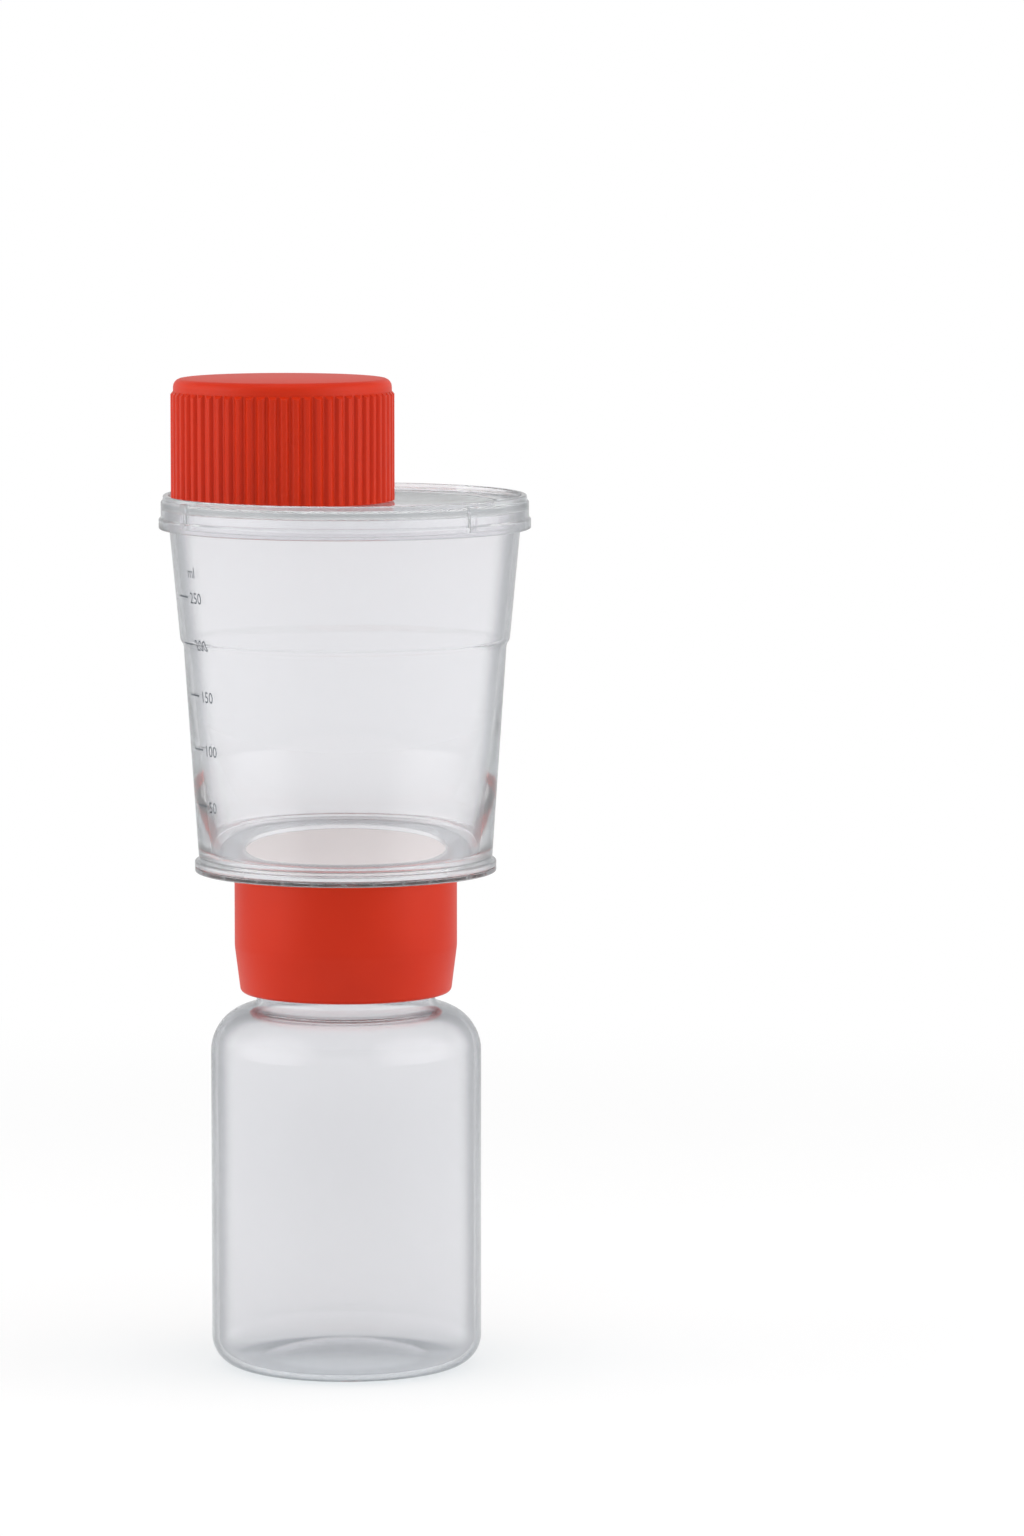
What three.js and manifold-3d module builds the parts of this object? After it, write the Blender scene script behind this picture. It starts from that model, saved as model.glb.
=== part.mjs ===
// A disposable vacuum filtration unit. A clear storage bottle carries a coloured screw adapter
// with a hose port; the clear filter unit screws into the adapter from above, and a loose lid
// covers its funnel. The bottle's own screw cap rests on that lid until the bottle is closed.
//
// Millimetres, +Z up. The origin is on the axis, at the surface that the bottle stands on.
// Everything is stacked from the bottle upwards, so each height follows from the ones below it.

import * as THREE from 'three';
import { mergeVertices } from 'three/addons/utils/BufferGeometryUtils.js';
import Module from 'manifold-3d';

const wasm = await Module();
wasm.setup();

// ---------------------------------------------------------------- driving dimensions

// Roundness of the faceted solids
const turnedFacets = 40;
const portFacets = 16;
const arcTolerance = 0.12;      // how far the chords of an arc may cut inside it

// Clearances
const seatGap = 0.1;            // between faces that rest on each other
const screwGap = 0.4;           // radial, between a thread's crest and the wall it turns in
const lidGap = 0.4;             // radial, between the lid's skirt and the funnel's rim
const plugGap = 0.25;           // radial, between the cap's plug and a bottle's bore

// Screw thread, the same on bottle, adapter, filter base and cap (right-handed)
const threadPitch = 4;
const threadCrestRadius = 22.5;
const threadDepth = 1.5;        // how far the outside thread stands out of its neck
const threadOverlap = 1.0;      // how far the inside thread reaches under the outside one
const threadRootWidth = 1.6;
const threadCrestWidth = 0.9;
const outsideThreadTurns = 1.25;
const insideThreadTurns = 1;
const threadLand = 1.2;         // plain wall kept beyond each end of a thread
const threadRooting = 0.5;      // how far a ridge is sunk into its wall
const threadFadeFacets = 3;     // facets over which its ends grow out of the wall

// Storage bottle
const bottleRadius = 32;
const bottleWall = 1.6;
const bottleFootCorner = 7;
const bottleFootWidth = 4;      // flat ring that the bottle stands on
const bottlePushUp = 3.5;       // height of the domed floor above that ring
const bottleBodyHeight = 75;
const shoulderCrownRadius = 11;
const shoulderRootRadius = 2.2;
const neckPlainHeight = 2.4;    // neck below its thread

// Gaskets, one above and one below the adapter
const gasketThickness = 1.1;
const gasketOverhang = 0.9;     // how far the lower one reaches inside the bottle's rim

// Vacuum adapter
const adapterWall = 2;          // at its lower edge
const adapterFlare = 1.4;       // how much wider it is from a little way up
const adapterFlareHeight = 11;
const adapterLift = 1.1;        // its lower edge above the root of the neck
const adapterEdgeRadius = 1.3;  // round of its lower outer edge
const adapterLipWidth = 1;      // lip round the seat of the upper gasket
const adapterLipRound = 0.5;
const ledgeThickness = 1.8;     // inside ledge that the lower gasket seals against
const ledgeWidth = 4.9;
const chamberHeight = 4.4;      // free height for the port between ledge and spigot

// Hose port on the adapter
const portBoreRadius = 1.9;
const portShankRadius = 3.0;
const portBossRadius = 4.8;
const portBossLength = 2;
const portBarbRadius = 4.1;
const portBarbLength = 4.2;
const portBarbCount = 3;
const portTipLength = 1.5;

// Filter base
const flangeRadius = 35.6;      // shared by base and funnel, which are welded there
const baseFlangeThickness = 1.2;
const basePanDepth = 0.8;       // the gasket's face stands this far below the flange
const spigotWall = 1.8;
const spoutBoreRadius = 3.2;
const spoutWall = 1.2;
const spoutTaper = 0.8;
const spoutReach = 2;           // how far the drain spout hangs below the bottle's rim
const dishFall = 1.4;           // slope of the drained floor from its rim to the spout
const dishDepth = 0.5;          // drained floor below the membrane, at its rim
const supportRibPairs = 12;
const supportRibWidth = 0.9;

// Membrane
const membraneRadius = 25;
const membraneThickness = 0.35;
const membraneSealWidth = 0.7;  // rim of the membrane that the funnel's floor holds down

// Funnel
const cupWall = 1.5;
const cupFloorThickness = 1.3;
const cupFloorCorner = 3;
const lowerCupRadius = 34.6;    // outside, at the foot
const lowerCupDraft = 3.4;      // how much wider it is at the step
const lowerCupHeight = 51.6;
const stepWidth = 0.9;          // the step is an ogee, this much wider at its top
const stepHeight = 2.9;
const upperCupDraft = 2.6;
const upperCupHeight = 30;
const rimBeadWidth = 0.5;
const rimBeadHeight = 2.6;

// Lid
const lidPlateThickness = 1.5;
const lidSkirtWall = 0.9;
const lidSkirtDepth = 4.8;      // skirt below the plate
const lidRimHeight = 1.6;       // raised rim above the plate
const lidRimWidth = 1.2;
const lidLipHeight = 2.2;
const lidLipWidth = 0.5;        // how far the lip stands out of the skirt
const lidRibWidth = 2.6;
const lidRibProud = 0.25;       // how far a rib stands out of the lip
const lidRibLift = 1;           // foot of a rib above the skirt's edge
const lidRibClimb = 0.9;        // how far a rib climbs the raised rim
const lidRibAngles = [-58, 44, 173];   // degrees from the front

// Bottle cap
const capHeight = 28.8;
const capWall = 2.8;
const capRibCount = 60;
const capRibDepth = 0.6;
const capRibFlank = 0.25;       // share of a rib's pitch that each flank takes
const capRibCrest = 0.35;       // share that the crest takes
const capTopThickness = 2;
const capCornerRadius = 2;
const capCrownHeight = 3;       // plain band above the grip ribs
const capPlugDepth = 4;
const capPlugWall = 1;
const capRestGap = 0.3;         // it lies up against the lid's raised rim, on the left

// ---------------------------------------------------------------- heights and radii that follow

const neckRadius = threadCrestRadius - threadDepth;
const neckBore = neckRadius - bottleWall;
const socketRadius = threadCrestRadius + screwGap;
const insideThreadCrest = threadCrestRadius - threadOverlap;
const outsideThreadSpan = outsideThreadTurns * threadPitch + threadRootWidth;
const insideThreadSpan = insideThreadTurns * threadPitch + threadRootWidth;

// The bottle's shoulder is two arcs that meet on a common tangent.
const shoulderDrop = bottleRadius - neckRadius;
const shoulderArcs = shoulderCrownRadius + shoulderRootRadius;
const shoulderHeight = Math.sqrt(2 * shoulderDrop * shoulderArcs - shoulderDrop ** 2);
const shoulderAngle = THREE.MathUtils.radToDeg(Math.atan2(shoulderHeight, shoulderArcs - shoulderDrop));

const neckRootZ = bottleBodyHeight + shoulderHeight;
const neckThreadZ = neckRootZ + neckPlainHeight + threadRootWidth / 2;
const neckTopZ = neckRootZ + neckPlainHeight + outsideThreadSpan + threadLand + threadDepth;

const lowerGasketZ = neckTopZ + seatGap;
const ledgeZ = lowerGasketZ + gasketThickness + seatGap;
const ledgeTopZ = ledgeZ + ledgeThickness;
const portZ = ledgeTopZ + chamberHeight / 2;
const spigotEndZ = ledgeTopZ + chamberHeight;
const spigotThreadZ = spigotEndZ + threadRootWidth / 2;
const spigotLength = insideThreadSpan + threadPitch / 2 + threadLand + gasketThickness;
const baseZ = spigotEndZ + spigotLength;
const adapterBottomZ = neckRootZ + adapterLift;
const adapterTopZ = baseZ - seatGap;
const gasketSeatZ = adapterTopZ - gasketThickness - seatGap;
const adapterFootRadius = socketRadius + adapterWall;
const adapterRadius = adapterFootRadius + adapterFlare;
const gasketSeatRadius = adapterRadius - adapterLipWidth;

const flangeZ = baseZ + basePanDepth;
const baseTopZ = flangeZ + baseFlangeThickness;
const supportZ = baseTopZ - membraneThickness - 2 * seatGap;
const membraneZ = supportZ + seatGap;
const cupOpening = membraneRadius - membraneSealWidth;

const funnelZ = baseTopZ + seatGap;
const cupFloorZ = funnelZ + cupFloorThickness;
const stepZ = funnelZ + lowerCupHeight;
const stepRadius = lowerCupRadius + lowerCupDraft;
const upperCupZ = stepZ + stepHeight;
const rimZ = upperCupZ + upperCupHeight;
const cupTopRadius = stepRadius + stepWidth + upperCupDraft;
const rimRadius = cupTopRadius + rimBeadWidth;

const lidZ = rimZ + seatGap;
const lidTopZ = lidZ + lidPlateThickness;
const lidSkirtBore = rimRadius + lidGap;
const lidSkirtRadius = lidSkirtBore + lidSkirtWall;
const lidRimOuter = lidSkirtRadius - lidLipWidth;
const lidRimFoot = lidRimOuter - lidRimWidth - lidRimHeight / 4;
const capRadius = socketRadius + capWall + capRibDepth;
const capX = -(lidRimFoot - capRestGap - capRadius);
const capZ = lidTopZ + seatGap;

// ---------------------------------------------------------------- geometry helpers

// Points of an arc in a profile's plane. Angles are in degrees, from the radius towards +Z.
function arc(r, z, radius, from, to) {
  const points = [];
  const chordAngle = 2 * Math.acos(1 - arcTolerance / Math.max(radius, 2 * arcTolerance));
  const steps = Math.max(2, Math.ceil(THREE.MathUtils.degToRad(Math.abs(to - from)) / chordAngle));
  for (let i = 0; i <= steps; i += 1) {
    const angle = THREE.MathUtils.degToRad(from + ((to - from) * i) / steps);
    points.push([r + radius * Math.cos(angle), z + radius * Math.sin(angle)]);
  }
  return points;
}

// A shallow dome over the axis, from its rim to its centre.
function dome(rimRadius, rimZ, height) {
  const points = [];
  const steps = 4;
  const radius = (rimRadius ** 2 + height ** 2) / (2 * height);
  for (let i = 0; i <= steps; i += 1) {
    const r = rimRadius * (1 - i / steps);
    points.push([r, rimZ + height - radius + Math.sqrt(radius ** 2 - r ** 2)]);
  }
  return points;
}

// A closed mesh with shared corners merged, collapsed triangles dropped and faces outwards.
function solidFrom(geometry) {
  const bare = geometry.index ? geometry.toNonIndexed() : geometry.clone();
  for (const name of Object.keys(bare.attributes)) {
    if (name !== 'position') bare.deleteAttribute(name);
  }
  const merged = mergeVertices(bare, 1e-4);
  const position = merged.attributes.position;
  const corners = [0, 1, 2].map(() => new THREE.Vector3());
  const triangles = [];
  let volume = 0;
  for (let i = 0; i < merged.index.count; i += 3) {
    const [a, b, c] = [0, 1, 2].map((k) => merged.index.getX(i + k));
    if (a === b || b === c || c === a) continue;
    triangles.push([a, b, c]);
    [a, b, c].forEach((corner, k) => corners[k].fromBufferAttribute(position, corner));
    volume += corners[0].dot(corners[1].cross(corners[2]));
  }
  const outward = volume > 0 ? triangles : triangles.map(([a, b, c]) => [a, c, b]);
  return new wasm.Manifold(new wasm.Mesh({
    numProp: 3,
    vertProperties: new Float32Array(position.array),
    triVerts: new Uint32Array(outward.flat()),
  }));
}

// A profile of [radius, z] points turned about +Z. It ends on the axis or closes on itself.
function turned(profile, facets = turnedFacets) {
  const last = profile[profile.length - 1];
  const loop = profile[0][0] > 0 || last[0] > 0 ? [...profile, profile[0]] : profile;
  const points = loop.map(([r, z]) => new THREE.Vector2(r, z));
  return solidFrom(new THREE.LatheGeometry(points, facets).rotateX(Math.PI / 2));
}

// One thread: a trapezoid carried round its wall and upwards, fading into the wall at both ends.
// The wall is on the side away from the crest, so the same function cuts both ways.
function threadRidge({ wallRadius, crestRadius, turns, startZ, startAngle = 0 }) {
  const side = Math.sign(crestRadius - wallRadius);
  const buried = wallRadius - threadRooting * side;
  const section = [
    [buried, -threadRootWidth / 2],
    [crestRadius, -threadCrestWidth / 2],
    [crestRadius, threadCrestWidth / 2],
    [buried, threadRootWidth / 2],
    [buried, -threadRootWidth / 2],
  ];
  const steps = Math.round(turns * turnedFacets);
  const geometry = new THREE.LatheGeometry(
    section.map(([r, z]) => new THREE.Vector2(r, z)),
    steps,
    THREE.MathUtils.degToRad(startAngle),
    turns * 2 * Math.PI,
  );
  const position = geometry.attributes.position;
  for (let step = 0; step <= steps; step += 1) {
    const grown = Math.min(1, step / threadFadeFacets, (steps - step) / threadFadeFacets);
    const angle = THREE.MathUtils.degToRad(startAngle) + (turns * 2 * Math.PI * step) / steps;
    section.forEach(([r, z], corner) => {
      const radius = buried + (r - buried) * grown;
      const height = startZ + (threadPitch * turns * step) / steps + z * grown;
      const index = step * section.length + corner;
      position.setXYZ(index, radius * Math.sin(angle), height, radius * Math.cos(angle));
    });
  }
  return solidFrom(geometry.rotateX(Math.PI / 2));
}

function mesh(name, solid, material) {
  const { vertProperties, triVerts } = solid.getMesh();
  const geometry = new THREE.BufferGeometry();
  geometry.setAttribute('position', new THREE.BufferAttribute(new Float32Array(vertProperties), 3));
  geometry.setIndex(new THREE.BufferAttribute(new Uint32Array(triVerts), 1));
  const result = new THREE.Mesh(geometry, material());
  result.name = name;
  return result;
}

// ---------------------------------------------------------------- materials

const clearPolystyrene = () => new THREE.MeshStandardMaterial({
  color: '#e9eef1',
  roughness: 0.08,
  metalness: 0,
  transparent: true,
  opacity: 0.32,
});

const orangePolyethylene = () => new THREE.MeshStandardMaterial({
  color: '#d63a1c',
  roughness: 0.38,
  metalness: 0,
});

const whiteMembrane = () => new THREE.MeshStandardMaterial({
  color: '#f4f3ef',
  roughness: 0.9,
  metalness: 0,
});

const siliconeRubber = () => new THREE.MeshStandardMaterial({
  color: '#d9d7d2',
  roughness: 0.6,
  metalness: 0,
});

// ---------------------------------------------------------------- storage bottle

// One skin of the bottle from the foot to the neck's root, set in from the outside by a depth.
function bottleSkin(depth) {
  const footRadius = bottleRadius - bottleFootCorner;
  return [
    ...arc(footRadius, bottleFootCorner, bottleFootCorner - depth, -90, 0),
    ...arc(bottleRadius - shoulderCrownRadius, bottleBodyHeight,
      shoulderCrownRadius - depth, 0, shoulderAngle),
    ...arc(neckRadius + shoulderRootRadius, neckRootZ,
      shoulderRootRadius + depth, 180 + shoulderAngle, 180).slice(1),
  ];
}

function storageBottle() {
  const footInner = bottleRadius - bottleFootCorner - bottleFootWidth;
  const outside = [...dome(footInner, 0, bottlePushUp).reverse(), ...bottleSkin(0)];
  const inside = [...dome(footInner, bottleWall, bottlePushUp).reverse(), ...bottleSkin(bottleWall)];
  const shell = turned([...outside, [neckRadius, neckTopZ], [neckBore, neckTopZ], ...inside.reverse()]);
  const thread = threadRidge({
    wallRadius: neckRadius,
    crestRadius: threadCrestRadius,
    turns: outsideThreadTurns,
    startZ: neckThreadZ,
  });
  return shell.add(thread);
}

// ---------------------------------------------------------------- gaskets

function flatRing(innerRadius, outerRadius, z, thickness) {
  return turned([
    [innerRadius, z],
    [outerRadius, z],
    [outerRadius, z + thickness],
    [innerRadius, z + thickness],
  ]);
}

const bottleGasket = () => flatRing(
  neckBore - gasketOverhang, socketRadius - screwGap, lowerGasketZ, gasketThickness,
);

const unitGasket = () => flatRing(
  socketRadius, gasketSeatRadius - seatGap, gasketSeatZ + seatGap, gasketThickness,
);

// ---------------------------------------------------------------- vacuum adapter

// The hose port, turned about its own axis: boss, barbs that face the boss, and a plain tip.
function hosePort() {
  const bossEnd = adapterRadius + portBossLength;
  const profile = [
    [0, socketRadius + adapterWall / 3],
    [portBossRadius, socketRadius + adapterWall / 3],
    [portBossRadius, bossEnd],
    [portShankRadius, bossEnd + (portBossRadius - portShankRadius) / 2],
  ];
  let along = bossEnd + portBarbLength / 2;
  for (let barb = 0; barb < portBarbCount; barb += 1) {
    profile.push([portShankRadius, along], [portBarbRadius, along + portBarbLength / 8]);
    along += portBarbLength;
  }
  profile.push([portShankRadius, along], [portShankRadius, along + portTipLength]);
  profile.push([0, along + portTipLength]);
  return turned(profile, portFacets).rotate([-90, 0, 0]).translate([0, 0, portZ]);
}

const portEnd = adapterRadius + portBossLength + portBarbLength * (portBarbCount + 0.5) + portTipLength;

function vacuumAdapter() {
  const edge = adapterEdgeRadius;
  const lip = adapterLipRound;
  const leadIn = adapterWall / 4;
  const ledgeBore = socketRadius - ledgeWidth;
  const body = turned([
    ...arc(adapterFootRadius - edge, adapterBottomZ + edge, edge, -90, 0),
    [adapterRadius, adapterBottomZ + adapterFlareHeight],
    ...arc(adapterRadius - lip, adapterTopZ - lip, lip, 0, 90),
    [gasketSeatRadius, adapterTopZ],
    [gasketSeatRadius, gasketSeatZ],
    [socketRadius, gasketSeatZ],
    [socketRadius, ledgeTopZ],
    [ledgeBore, ledgeTopZ],
    [ledgeBore, ledgeZ],
    [socketRadius, ledgeZ],
    [socketRadius, adapterBottomZ + leadIn],
    [socketRadius + leadIn, adapterBottomZ],
  ]);
  // Each inside thread runs half a pitch away from the outside thread that it holds: under the
  // bottle's, and over the spigot's. A quarter turn further on, both are a quarter pitch higher.
  const inside = { wallRadius: socketRadius, crestRadius: insideThreadCrest, startAngle: 90 };
  const lower = threadRidge({
    ...inside,
    turns: insideThreadTurns,
    startZ: neckThreadZ + threadPitch / 4 - threadPitch / 2,
  });
  const upper = threadRidge({
    ...inside,
    turns: insideThreadTurns / 2,
    startZ: spigotThreadZ + threadPitch / 4 + threadPitch / 2,
  });
  const boreLength = portEnd - neckBore;
  const bore = solidFrom(
    new THREE.CylinderGeometry(portBoreRadius, portBoreRadius, boreLength, portFacets)
      .translate(0, neckBore + boreLength / 2 + seatGap, portZ),
  );
  return body.add(lower).add(upper).add(hosePort()).subtract(bore);
}

// ---------------------------------------------------------------- filter base

function filterBase() {
  const dishRim = cupOpening;
  const dishRimZ = supportZ - dishDepth;
  const spoutZ = dishRimZ - dishFall;
  const spigotBore = neckRadius - spigotWall;
  const dishZ = (r) => dishRimZ - (dishFall * (dishRim - r)) / (dishRim - spoutBoreRadius);
  const floorUnder = (r) => dishZ(r) - spigotWall;
  const spoutRadius = spoutBoreRadius + spoutWall;
  const body = turned([
    [spoutBoreRadius, neckTopZ - spoutReach],
    [spoutRadius, neckTopZ - spoutReach],
    [spoutRadius + spoutTaper, floorUnder(spoutRadius + spoutTaper)],
    [spigotBore, floorUnder(spigotBore)],
    [spigotBore, spigotEndZ],
    [neckRadius, spigotEndZ],
    [neckRadius, baseZ],
    [adapterRadius, baseZ],
    [adapterRadius, flangeZ],
    [flangeRadius, flangeZ],
    [flangeRadius, baseTopZ],
    [membraneRadius + screwGap, baseTopZ],
    [membraneRadius + screwGap, supportZ],
    [dishRim, supportZ],
    [dishRim, dishRimZ],
    [spoutBoreRadius, spoutZ],
  ]);
  let result = body.add(threadRidge({
    wallRadius: neckRadius,
    crestRadius: threadCrestRadius,
    turns: insideThreadTurns,
    startZ: spigotThreadZ,
  }));
  // Ribs that carry the membrane. Every second one stops short, so they don't crowd the spout.
  const buried = spigotWall / 4;
  const radialRib = (from) => {
    const outline = new THREE.Shape([
      new THREE.Vector2(from, dishZ(from) - buried),
      new THREE.Vector2(dishRim + buried, dishZ(dishRim) - buried),
      new THREE.Vector2(dishRim + buried, supportZ),
      new THREE.Vector2(from, supportZ),
    ]);
    const rib = new THREE.ExtrudeGeometry(outline, { depth: supportRibWidth, bevelEnabled: false });
    return solidFrom(rib.rotateX(Math.PI / 2).translate(0, supportRibWidth / 2, 0));
  };
  const longRib = radialRib(spoutRadius + spoutTaper);
  const shortRib = radialRib(dishRim / 2);
  for (let i = 0; i < supportRibPairs * 2; i += 1) {
    const rib = i % 2 ? shortRib : longRib;
    result = result.add(rib.rotate([0, 0, (i * 180) / supportRibPairs]));
  }
  return result;
}

const membrane = () => turned([
  [0, membraneZ],
  [membraneRadius, membraneZ],
  [membraneRadius, membraneZ + membraneThickness],
  [0, membraneZ + membraneThickness],
]);

// ---------------------------------------------------------------- funnel

// One side of the cup's wall from the step to just under the rim, set in by a depth. The step
// is two arcs that meet on a common tangent.
function cupSkin(depth) {
  const radius = (stepWidth ** 2 + stepHeight ** 2) / (4 * stepWidth);
  const sweep = THREE.MathUtils.radToDeg(Math.asin(stepHeight / (2 * radius)));
  return [
    ...arc(stepRadius + radius, stepZ, radius + depth, 180, 180 - sweep),
    ...arc(stepRadius + stepWidth - radius, upperCupZ, radius - depth, -sweep, 0).slice(1),
    [cupTopRadius - depth, rimZ - rimBeadHeight],
  ];
}

function funnel() {
  const cornerRadius = lowerCupRadius - cupWall - cupFloorCorner;
  return turned([
    [cupOpening, funnelZ],
    [flangeRadius, funnelZ],
    [flangeRadius, cupFloorZ],
    [lowerCupRadius, cupFloorZ],
    ...cupSkin(0),
    [rimRadius, rimZ - rimBeadHeight + rimBeadWidth / 2],
    [rimRadius, rimZ - rimBeadWidth / 2],
    [rimRadius - rimBeadWidth / 2, rimZ],
    [cupTopRadius - cupWall, rimZ],
    ...cupSkin(cupWall).reverse(),
    ...arc(cornerRadius, cupFloorZ + cupFloorCorner, cupFloorCorner, 0, -90),
    [cupOpening, cupFloorZ],
  ]);
}

// ---------------------------------------------------------------- lid

function funnelLid() {
  const skirtZ = lidZ - lidSkirtDepth;
  const lipRadius = lidSkirtRadius + lidLipWidth;
  const topZ = lidTopZ + lidRimHeight;
  const plate = turned([
    [0, lidZ],
    [lidSkirtBore, lidZ],
    [lidSkirtBore, skirtZ],
    [lipRadius, skirtZ],
    [lipRadius, skirtZ + lidLipHeight],
    [lidSkirtRadius, skirtZ + lidLipHeight + lidLipWidth],
    [lidSkirtRadius, topZ - lidRimHeight],
    [lidRimOuter, topZ - lidRimHeight + lidLipWidth],
    [lidRimOuter, topZ],
    [lidRimOuter - lidRimWidth, topZ],
    [lidRimFoot, lidTopZ],
    [0, lidTopZ],
  ]);
  const ribFootZ = skirtZ + lidRibLift;
  const ribTopZ = lidTopZ + lidRibClimb;
  const ribRoot = lidRimOuter - lidRimWidth / 2;
  const ribReach = lipRadius + lidRibProud - ribRoot;
  const rib = solidFrom(
    new THREE.BoxGeometry(lidRibWidth, ribReach, ribTopZ - ribFootZ)
      .translate(0, -(ribRoot + ribReach / 2), (ribTopZ + ribFootZ) / 2),
  );
  return lidRibAngles.reduce((lid, angle) => lid.add(rib.rotate([0, 0, angle])), plate);
}

// ---------------------------------------------------------------- bottle cap

function bottleCap() {
  const valley = capRadius - capRibDepth;
  const bandTop = capZ + capHeight - capCrownHeight;
  const outline = new THREE.Shape();
  for (let rib = 0; rib < capRibCount; rib += 1) {
    const crestEnd = capRibFlank + capRibCrest;
    const corners = [
      [0, 0],
      [capRibFlank, capRibDepth],
      [crestEnd, capRibDepth],
      [crestEnd + capRibFlank, 0],
    ];
    corners.forEach(([share, rise], i) => {
      const angle = ((rib + share) / capRibCount) * 2 * Math.PI;
      const radius = valley + rise;
      const move = rib === 0 && i === 0 ? 'moveTo' : 'lineTo';
      outline[move](radius * Math.cos(angle), radius * Math.sin(angle));
    });
  }
  const grip = solidFrom(
    new THREE.ExtrudeGeometry(outline, { depth: bandTop - capZ, bevelEnabled: false })
      .translate(0, 0, capZ),
  );
  const crown = turned([
    [0, bandTop - capCrownHeight],
    [valley, bandTop - capCrownHeight],
    [valley, bandTop],
    ...arc(valley - capCornerRadius, capZ + capHeight - capCornerRadius, capCornerRadius, 0, 90),
    [0, capZ + capHeight],
  ]);
  const ceiling = capZ + capHeight - capTopThickness;
  const plugRadius = neckBore - plugGap;
  const hollow = turned([
    [0, capZ - capHeight],
    [socketRadius, capZ - capHeight],
    [socketRadius, ceiling],
    [plugRadius, ceiling],
    [plugRadius, ceiling - capPlugDepth],
    [plugRadius - capPlugWall, ceiling - capPlugDepth],
    [plugRadius - capPlugWall, ceiling],
    [0, ceiling],
  ]);
  const thread = threadRidge({
    wallRadius: socketRadius,
    crestRadius: insideThreadCrest,
    turns: outsideThreadTurns,
    startZ: capZ + threadLand + threadRootWidth / 2,
  });
  return grip.add(crown).subtract(hollow).add(thread).translate([capX, 0, 0]);
}

// ---------------------------------------------------------------- assembly

const group = new THREE.Group();
group.add(
  mesh('storage_bottle', storageBottle(), clearPolystyrene),
  mesh('bottle_gasket', bottleGasket(), siliconeRubber),
  mesh('vacuum_adapter', vacuumAdapter(), orangePolyethylene),
  mesh('unit_gasket', unitGasket(), siliconeRubber),
  mesh('filter_base', filterBase(), clearPolystyrene),
  mesh('membrane', membrane(), whiteMembrane),
  mesh('funnel', funnel(), clearPolystyrene),
  mesh('funnel_lid', funnelLid(), clearPolystyrene),
  mesh('bottle_cap', bottleCap(), orangePolyethylene),
);

export default group;
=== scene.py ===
import math

import bmesh
import bpy
from mathutils import Euler, Matrix, Vector


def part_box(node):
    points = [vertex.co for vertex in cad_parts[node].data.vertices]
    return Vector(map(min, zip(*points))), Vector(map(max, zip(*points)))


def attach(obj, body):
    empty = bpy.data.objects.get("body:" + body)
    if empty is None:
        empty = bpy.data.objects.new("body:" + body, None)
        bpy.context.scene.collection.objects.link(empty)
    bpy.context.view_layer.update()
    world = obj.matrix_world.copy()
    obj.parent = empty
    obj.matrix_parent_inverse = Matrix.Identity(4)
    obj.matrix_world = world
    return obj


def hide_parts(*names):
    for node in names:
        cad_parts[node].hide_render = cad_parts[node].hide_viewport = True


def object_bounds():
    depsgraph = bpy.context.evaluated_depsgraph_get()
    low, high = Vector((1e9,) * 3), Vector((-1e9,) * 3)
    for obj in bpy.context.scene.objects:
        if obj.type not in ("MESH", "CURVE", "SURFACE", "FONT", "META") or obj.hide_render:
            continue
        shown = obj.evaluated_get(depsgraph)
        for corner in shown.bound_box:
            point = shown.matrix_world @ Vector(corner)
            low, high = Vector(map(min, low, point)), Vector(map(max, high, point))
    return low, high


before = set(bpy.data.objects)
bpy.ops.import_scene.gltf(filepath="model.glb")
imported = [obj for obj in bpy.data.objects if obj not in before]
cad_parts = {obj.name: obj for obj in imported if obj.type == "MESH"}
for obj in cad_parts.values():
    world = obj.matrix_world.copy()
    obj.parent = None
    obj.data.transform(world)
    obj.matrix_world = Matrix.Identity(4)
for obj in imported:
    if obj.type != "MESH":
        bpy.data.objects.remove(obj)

mm = 0.001
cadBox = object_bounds()
scene = bpy.context.scene


# Node and colour helpers.

smoothStep = {"interpolation_type": "SMOOTHSTEP"}


def addNode(tree, kind, settings=None, inputs=None):
    node = tree.nodes.new(kind)
    for name, value in (settings or {}).items():
        setattr(node, name, value)
    for name, value in (inputs or {}).items():
        if isinstance(value, bpy.types.NodeSocket):
            tree.links.new(value, node.inputs[name])
        else:
            node.inputs[name].default_value = value
    return node


def linear(hexColour):
    channels = [int(hexColour[i:i + 2], 16) / 255 for i in (1, 3, 5)]
    return [c / 12.92 if c <= 0.04045 else ((c + 0.055) / 1.055) ** 2.4 for c in channels] + [1]


def newMaterial(name):
    material = bpy.data.materials.new(name)
    material.use_nodes = True
    material.node_tree.nodes.clear()
    return material, material.node_tree


def rayMask(tree, kinds):
    path = addNode(tree, "ShaderNodeLightPath")
    mask = path.outputs[kinds[0]]
    for kind in kinds[1:]:
        mask = addNode(tree, "ShaderNodeMath", {"operation": "MAXIMUM"}, {
            0: mask, 1: path.outputs[kind]}).outputs[0]
    return mask


# Materials.

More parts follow.
